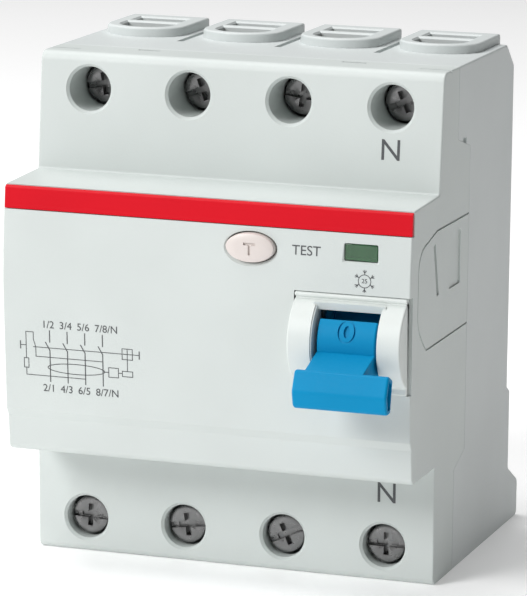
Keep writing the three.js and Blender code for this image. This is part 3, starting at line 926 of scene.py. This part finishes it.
def build_button():
    """A domed oval button with an engraved T and a flange that holds it in the cover."""
    x, z = BUTTON.x, BUTTON.z
    high = box_mm("test_button")[1]
    ratio = BUTTON_HALF.z / BUTTON_HALF.x
    dome = [(4.15, -55.0), (4.15, -58.35), (4.0, -58.6), (3.6, -58.75), (2.4, -58.84)]
    dome.append((0.6, -58.88))
    rings = [[place("y", a, b, y) for a, b in circle(x, z, r, 64, ratio)] for r, y in dome]
    button = loft("button", rings)
    flange = prism("flange", circle(x, z, 5.3, 48, 3.55 / 5.3), "y", -55.4, -54.4)
    stem = prism("stem", circle(x, z, 1.4, 24), "y", -55, high.y)
    join(button, flange)
    spring_seat = prism("spring_seat", circle(x, z, 2.85, 40), "y", -56.2, -50)
    cut(spring_seat, prism("seat_core", circle(x, z, 1.6, 32), "y", -60, -40))
    cut(button, spring_seat)
    join(button, stem)
    stroke = 0.42
    bar = cuboid("bar", (x - 1.0, -60, z + 0.85 - stroke), (x + 1.0, -58.55, z + 0.85))
    post = cuboid("post", (x - stroke / 2, -60, z - 1.15), (x + stroke / 2, -58.55, z + 0.8))
    letter = join(bar, post)
    letter.data.materials.append(MAT["button"])
    letter.data.materials.append(MAT["ink"])
    for polygon in letter.data.polygons:
        polygon.material_index = 1
    button.data.materials.append(MAT["button"])
    button.data.materials.append(MAT["ink"])
    cut(button, letter)
    finish_piece(
        button,
        "test_button_cap",
        "button",
        ["test_button"],
        [MAT["button"], MAT["ink"]],
    )


FLAG_ARC = (-0.77, 0.25)
FLAG_OUTER_R = 6.7
FLAG_INNER_R = 6.0
FLAG_DIVIDE = -0.26


def build_window():
    """The tinted pane, and the curved flag that swings behind it on a pin."""
    low, high = box_mm("indicator_window")
    outline = rounded(low.x, low.z, high.x, high.z, 0.25)
    pane = bevel(prism("pane", outline, "y", low.y, high.y), 0.1, 2, 50)
    finish_piece(pane, "status_pane", "housing", ["indicator_window"], [MAT["lens"]])
    pin = centre("indicator_pin")
    low, high = box_mm("indicator_flag")
    steps = 16
    start, end = FLAG_ARC
    angles = [start + (end - start) * k / steps for k in range(steps + 1)]

    def tip(angle, reach):
        return (pin.y - reach * math.cos(angle), pin.z + reach * math.sin(angle))

    plate = [tip(a, FLAG_OUTER_R) for a in angles]
    plate += [tip(a, FLAG_INNER_R) for a in reversed(angles)]
    flag = bevel(prism("flag", plate, "x", low.x, high.x), 0.08, 2, 50)
    web = [tip(a, FLAG_INNER_R + 0.2) for a in angles] + [(pin.y, pin.z)]
    join(flag, prism("web", web, "x", low.x + 2.5, high.x - 2.5))
    hub = turned_x("hub", 1.2, low.x, high.x, pin.y, pin.z, 28)
    join(flag, bevel(hub, 0.12, 2, 50))
    cut(flag, turned_x("bore", 0.6, low.x - 1, high.x + 1, pin.y, pin.z, 20))
    flag.data.materials.append(MAT["flag"])
    flag.data.materials.append(MAT["flag_red"])
    for polygon in flag.data.polygons:
        middle = polygon.center
        angle = math.atan2(middle.z - pin.z, pin.y - middle.y)
        is_red = angle < FLAG_DIVIDE and middle.y < pin.y - 5.5
        polygon.material_index = 1 if is_red else 0
    finish_piece(
        flag,
        "status_flag",
        "flag",
        ["indicator_flag"],
        [MAT["flag"], MAT["flag_red"]],
    )


# ---- terminals ----


def build_screw(side, pole):
    """A slotted and crossed cheese head with a rounded rim, on a threaded shank."""
    node = f"terminal_screw_{side}_{pole}"
    low, high = box_mm(node)
    x, z = (low.x + high.x) / 2, (low.z + high.z) / 2
    front = low.y
    head = 2.4
    radius = (high.x - low.x) / 2
    profile = [
        (0.4, front + 0.12),
        (2.2, front + 0.08),
        (radius - 0.6, front),
        (radius - 0.2, front + 0.12),
        (radius, front + 0.5),
        (radius, front + head - 0.2),
        (radius - 0.2, front + head),
        (2.4, front + head),
    ]
    pitch = 0.8
    thread_start = front + head + 1.2
    y = thread_start
    profile.append((2.4, y))
    while y + pitch < high.y - 0.6:
        profile += [(2.05, y + pitch * 0.45), (2.4, y + pitch * 0.9), (2.4, y + pitch)]
        y += pitch
    profile += [(1.9, high.y - 0.2), (1.7, high.y)]
    screw = turned("screw", profile, "y", x, z, 44)
    turn = random.uniform(-0.5, 0.5)
    tools = []
    for angle, half_long, half_wide, deep in (
        (0, radius + 1, 0.5, 1.1),
        (math.pi / 2, 1.9, 0.45, 1.4),
        (0, 1.9, 0.45, 1.4),
    ):
        low_corner = (-half_long, front - 1, -half_wide)
        bar = cuboid("slot", low_corner, (half_long, front + deep, half_wide))
        spin = Matrix.Translation((x, 0, z)) @ Matrix.Rotation(angle + turn, 4, "Y")
        bar.data.transform(spin)
        tools.append(bar)
    cut(screw, *tools)
    bevel(screw, 0.07, 2, 55)
    finish_piece(
        screw, f"screw_{side}_{pole}", f"screw_{side}_{pole}", [node], [MAT["screw"]]
    )


def build_clamp(side, pole):
    """A folded sheet-metal box clamp with a ribbed floor and a threaded collar in front."""
    node = f"terminal_clamp_{side}_{pole}"
    low, high = box_mm(node)
    x = (low.x + high.x) / 2
    z = (low.z + high.z) / 2
    wall = 1.8
    outer = rounded(low.x, low.y, high.x, high.y, 1.0, 3)
    inner = rounded(low.x + wall, low.y + wall, high.x - wall, high.y - wall, 0.5, 3)
    clamp = prism("clamp", outer, "z", low.z, high.z)
    cut(clamp, prism("hole", inner, "z", low.z - 5, high.z + 5))
    cut(clamp, prism("thread", circle(x, z, 2.65, 28), "y", low.y - 2, low.y + wall + 1))
    teeth = [
        cuboid(
            "tooth",
            (low.x + wall + 0.6, high.y - wall - 0.3, z - 2.9 + 1.6 * k),
            (high.x - wall - 0.6, high.y - wall + 0.3, z - 2.2 + 1.6 * k),
        )
        for k in range(4)
    ]
    cut(clamp, merged("teeth", teeth))
    bevel(clamp, 0.12, 1, 50)
    body = f"clamp_{side}_{pole}"
    finish_piece(clamp, f"box_clamp_{side}_{pole}", body, [node], [MAT["zinc"]])


# ---- print ----

PRINT_LIFT = 0.04


def on_surface(obj, surface, x, z):
    """Lays flat artwork, drawn in local x and y, on the front at (x, z)."""
    for vertex in obj.data.vertices:
        a, b, c = vertex.co
        vertex.co = (x + a, surface(z + b) - PRINT_LIFT * (1 if c > 0 else -2), z + b)
    return obj


def text(words, size, surface, x, z):
    curve = bpy.data.curves.new("text", "FONT")
    curve.body = words
    curve.size = size
    curve.align_x = "CENTER"
    curve.align_y = "CENTER"
    curve.extrude = 0.02
    curve.resolution_u = 6
    obj = bpy.data.objects.new("text", curve)
    bpy.context.scene.collection.objects.link(obj)
    graph = bpy.context.evaluated_depsgraph_get()
    mesh = bpy.data.meshes.new_from_object(obj.evaluated_get(graph))
    bpy.data.objects.remove(obj)
    flat = bpy.data.objects.new("text", mesh)
    bpy.context.scene.collection.objects.link(flat)
    return on_surface(flat, surface, x, z)


def stroke(points, width, surface, x, z):
    """A printed line through points, as short flat bars."""
    bars = []
    for first, second in zip(points, points[1:]):
        a, b = Vector(first), Vector(second)
        ahead = (b - a).normalized() * width / 2
        side = ahead.orthogonal()
        corners = [a - ahead + side, b + ahead + side, b + ahead - side, a - ahead - side]
        bar = prism("bar", [tuple(c) for c in corners], "z", -0.02, 0.02)
        bars.append(on_surface(bar, surface, x, z))
    return bars


def ring_print(radius, width, surface, x, z, steps=24):
    points = circle(0, 0, radius, steps)
    return stroke(points + points[:1], width, surface, x, z)


def print_terminal_letters():
    return [text("N", 4.9, shoulder_y, 26.4, 29.5), text("N", 4.9, shoulder_y, 26.8, -27.5)]


def print_snow_mark(x, z):
    """A ring of short ticks around a number: a cold-weather mark."""
    parts = []
    for k in range(6):
        angle = math.pi * k / 3 + math.pi / 6
        ahead = Vector((math.cos(angle), math.sin(angle)))
        tip = ahead * 1.75
        parts += stroke([tuple(ahead * 1.05), tuple(tip)], 0.12, face_y, x, z)
        for bend in (-0.6, 0.6):
            arm = ahead.copy()
            arm.rotate(Matrix.Rotation(bend, 2))
            end = ahead * 1.3 + arm * 0.45
            parts += stroke([tuple(ahead * 1.3), tuple(end)], 0.1, face_y, x, z)
    parts += ring_print(1.05, 0.1, face_y, x, z)
    parts.append(text("25", 1.0, face_y, x, z))
    return parts


def rectangle(x0, x1, z0, z1):
    return [(x0, z0), (x1, z0), (x1, z1), (x0, z1), (x0, z0)]


def print_circuit():
    """A generic wiring symbol: four poles through a ring, a test branch and a latch."""
    thin, normal = 0.11, 0.16
    poles = [-26.9 + 3.1 * k for k in range(4)]
    lines = []
    for a in poles:
        lines.append((normal, [(a, -1.4), (a, -3.3)]))
        lines.append((normal, [(a - 0.75, -3.4), (a, -4.7), (a, -10.0)]))
    lines.append((thin, [(-29.8, -4.3), (-14.2, -4.3)]))
    lines.append((thin, rectangle(-14.2, -12.4, -5.2, -3.4)))
    lines.append((thin, [(-13.3, -3.4), (-13.3, -7.2)]))
    lines.append((thin, [(-14.2, -4.3), (-11.2, -4.3)]))
    lines.append((normal, [(-11.2, -3.7), (-11.2, -4.9)]))
    ring = [(-22.3 + 5.0 * c, -7.6 + 0.85 * s) for c, s in circle(0, 0, 1, 36)]
    lines.append((thin, ring + ring[:1]))
    lines.append((thin, [(-17.4, -7.6), (-16.6, -7.6)]))
    lines.append((thin, rectangle(-16.6, -14.9, -8.4, -6.8)))
    lines.append((thin, [(-14.9, -7.6), (-14.2, -7.6)]))
    lines.append((thin, rectangle(-14.2, -12.4, -8.1, -7.2)))
    lines.append((thin, [(-29.8, -3.0), (-29.8, -1.8), (-31.1, -1.8), (-31.1, -6.3)]))
    lines.append((thin, [(-29.8, -3.0), (-29.4, -4.3), (-29.4, -5.9), (-17.6, -5.9)]))
    lines.append((thin, rectangle(-31.5, -30.7, -7.9, -6.3)))
    lines.append((thin, [(-31.1, -7.9), (-31.1, -9.1), (-20.7, -9.1)]))
    lines.append((thin, [(-32.1, -4.1), (-31.2, -4.1)]))
    lines.append((normal, [(-32.1, -3.5), (-32.1, -4.7)]))
    parts = []
    for width, points in lines:
        parts += stroke(points, width, face_y, 0, 0)
    above = ("1/2", "3/4", "5/6", "7/8/N")
    below = ("2/1", "4/3", "6/5", "8/7/N")
    for words, z in ((above, -0.4), (below, -11.2)):
        for a, label in zip(poles, words):
            shift = 0.7 if len(label) > 3 else -0.25
            parts.append(text(label, 1.75, face_y, a + shift, z))
    return parts


def build_print():
    parts = print_terminal_letters()
    parts.append(text("TEST", 2.25, face_y, 17.4, 15.15))
    parts += print_snow_mark(27.3, 11.0)
    parts += print_circuit()
    artwork = merged("artwork", parts)
    finish_piece(
        artwork, "printed_marks", "housing", [], [MAT["ink"]], weighted=False
    )


# ---- studio ----


def add_area(name, location, aim, size, power):
    light = bpy.data.lights.new(name, "AREA")
    light.shape = "DISK"
    light.size = size
    light.energy = power
    obj = bpy.data.objects.new(name, light)
    obj.location = location
    obj.rotation_euler = (Vector(aim) - Vector(location)).to_track_quat("-Z", "Y").to_euler()
    bpy.context.scene.collection.objects.link(obj)


WORLD_STRENGTH = 0.17
KEY_POWER = 9.0
TOP_POWER = 9.2


def build_studio():
    """A pale floor under a white sky, a key light at the front left and one from above."""
    floor_z = BOTTOM * MM
    bm = bmesh.new()
    bmesh.ops.create_grid(bm, x_segments=1, y_segments=1, size=6)
    for vertex in bm.verts:
        vertex.co.z = floor_z
    floor = new_object("floor", bm)
    shader = Shader("floor_paper")
    shader.colour(shader.noise(3, 2), (0.9, 0.9, 0.9), (0.93, 0.93, 0.93))
    shader.set(Roughness=0.9, Emission_Color=(1, 1, 1, 1), Emission_Strength=0.2)
    floor.data.materials.append(shader.material)
    world = bpy.data.worlds.new("studio")
    world.use_nodes = True
    world.node_tree.nodes["Background"].inputs["Color"].default_value = (1, 1, 1, 1)
    world.node_tree.nodes["Background"].inputs["Strength"].default_value = WORLD_STRENGTH
    bpy.context.scene.world = world
    aim = (0, -0.04, 0)
    add_area("key", (-0.55, -0.85, 0.6), aim, 0.5, KEY_POWER)
    add_area("top", (-0.3, 0.05, 1.0), aim, 0.9, TOP_POWER)
    bpy.context.scene.view_settings.view_transform = "Standard"


CAMERA_AZIMUTH = math.radians(19.10)
CAMERA_ELEVATION = math.radians(11.50)
CAMERA_ROLL = math.radians(0.573)
CAMERA_DISTANCE = 661.2
CAMERA_AIM = Vector((0, -43, 0))
CAMERA_OFFSET = (4.816, 3.294)
CAMERA_LENS = 241.73


def build_camera():
    az, el = CAMERA_AZIMUTH, CAMERA_ELEVATION
    back = Vector((math.sin(az) * math.cos(el), -math.cos(az) * math.cos(el), math.sin(el)))
    right = Vector((math.cos(az), math.sin(az), 0))
    up = back.cross(right)
    c, s = math.cos(CAMERA_ROLL), math.sin(CAMERA_ROLL)
    right, up = right * c + up * s, up * c - right * s
    place_at = CAMERA_AIM + back * CAMERA_DISTANCE
    place_at += right * CAMERA_OFFSET[0] + up * CAMERA_OFFSET[1]
    data = bpy.data.cameras.new("camera")
    data.lens = CAMERA_LENS
    data.sensor_width = 36
    data.clip_start = 0.01
    camera = bpy.data.objects.new("camera", data)
    turn = Matrix((right, up, back)).transposed().to_4x4()
    camera.matrix_world = Matrix.Translation(place_at * MM) @ turn
    bpy.context.scene.collection.objects.link(camera)
    bpy.context.scene.camera = camera


# ---- the whole device ----

random.seed(7)
build_camera()
build_studio()
dress_cad_nodes()
build_cover()
build_base()
build_rail_clips()
build_stripe()
build_bezel()
build_toggle()
build_button()
build_window()
for side_name in SIDES:
    for pole_number in POLES:
        build_screw(side_name, pole_number)
        build_clamp(side_name, pole_number)
build_print()
